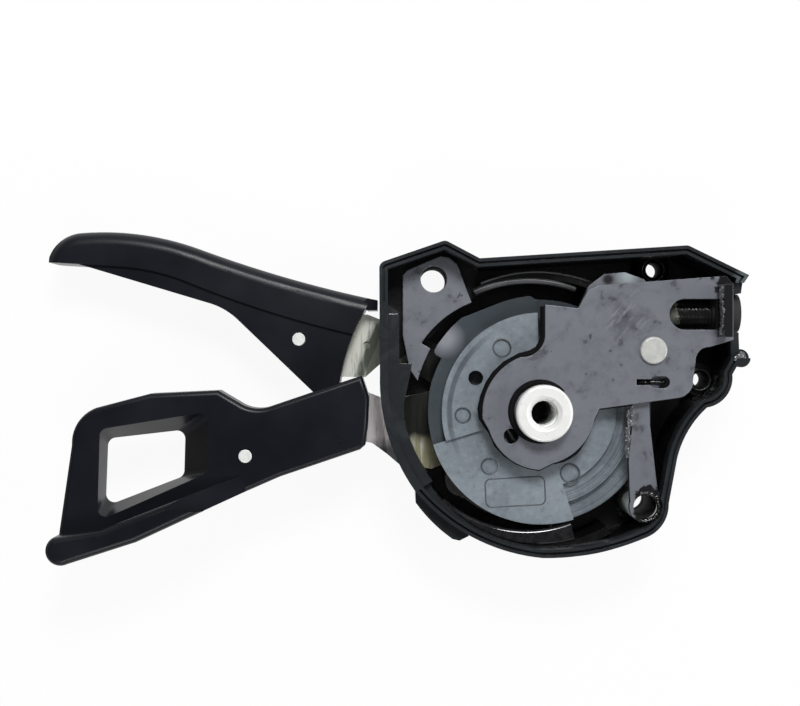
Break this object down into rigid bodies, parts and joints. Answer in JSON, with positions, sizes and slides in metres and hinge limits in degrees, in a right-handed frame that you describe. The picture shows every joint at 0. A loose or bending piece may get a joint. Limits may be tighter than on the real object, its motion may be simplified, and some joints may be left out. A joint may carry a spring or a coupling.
{
  "type": "trigger gear shifter",
  "caption": "Bicycle trigger shifter with its cover off: moulded tray, pull lever, windowed release lever, and a cable drum with ratchet and pawls on a hollow axle.",
  "frame": {"origin": "on the axle's line, at the tray's flat back", "axes": "+Z along the axle towards the open side, the levers reach towards -X, the cable comes in from +X"},
  "size_m": [0.11, 0.0518, 0.02],
  "materials": {
    "tray_plastic": "gloss black, greasy",
    "lever_plastic": "satin black",
    "dark_steel": "black oxide with grease",
    "bright_zinc": "bright zinc",
    "yellow_zinc": "yellow zinc",
    "rivet_steel": "bare steel",
    "pin_steel": "bright steel",
    "pawl_steel": "hardened steel",
    "spring_steel": "drawn wire",
    "spacer_plastic": "moulded grey",
    "drum_plastic": "moulded blue grey"
  },
  "bodies": {
    "tray": {"housing": "tray_plastic", "mounting_plate": "dark_steel", "top_plate": "dark_steel", "strut_plate": "dark_steel", "axle_sleeve": "bright_zinc", "axle_collar": "bright_zinc", "pawl_axle": "rivet_steel", "cable_guide": "rivet_steel", "screw_spacer": "spacer_plastic", "lower_washer": "rivet_steel", "upper_washer": "rivet_steel", "drum_spring": "spring_steel", "pull_lever_spring": "spring_steel", "release_lever_spring": "spring_steel", "holding_pawl_spring": "spring_steel"},
    "pull_lever": {"pull_lever_plate": "yellow_zinc", "pull_lever_grip": "lever_plastic", "pull_lever_pin": "pin_steel", "drive_pawl_pin": "pin_steel", "drive_pawl_spring": "spring_steel"},
    "release_lever": {"release_lever_plate": "yellow_zinc", "release_lever_grip": "lever_plastic", "release_lever_pin": "pin_steel"},
    "drum": {"cable_drum": "drum_plastic", "ratchet_ring": "pawl_steel"},
    "drive_pawl": {"drive_pawl": "pawl_steel"},
    "holding_pawl": {"holding_pawl": "pawl_steel"}
  },
  "joints": [
    {"name": "pull_lever_turn", "type": "hinge", "parent": "tray", "child": "pull_lever", "pos_m": [0, 0, 0.0038], "axis": [0, 0, 1], "range_deg": [0, 36], "stiffness_Nm_per_rad": 0.2, "springref_deg": -17.19, "deforming": ["pull_lever_spring"]},
    {"name": "release_lever_turn", "type": "hinge", "parent": "tray", "child": "release_lever", "pos_m": [0, 0, 0.0059], "axis": [0, 0, -1], "range_deg": [0, 12], "stiffness_Nm_per_rad": 0.2, "springref_deg": -17.19, "deforming": ["release_lever_spring", "holding_pawl_spring"]},
    {"name": "drum_turn", "type": "hinge", "parent": "tray", "child": "drum", "pos_m": [0, 0, 0.0105], "axis": [0, 0, 1], "range_deg": [0, 108]},
    {"name": "drive_pawl_turn", "type": "hinge", "parent": "pull_lever", "child": "drive_pawl", "pos_m": [-0.01234, -0.01111, 0.0079], "axis": [0, 0, 1], "range_deg": [0, 8], "stiffness_Nm_per_rad": 0.01, "springref_deg": -5.73, "deforming": ["drive_pawl_spring"]},
    {"name": "holding_pawl_turn", "type": "hinge", "parent": "tray", "child": "holding_pawl", "pos_m": [0.01697, 0.0096, 0.0079], "axis": [0, 0, -1], "range_deg": [0, 4]}
  ],
  "couplings": [
    {"joint": "holding_pawl_turn", "follows": "release_lever_turn", "ratio": 0.33333}
  ]
}
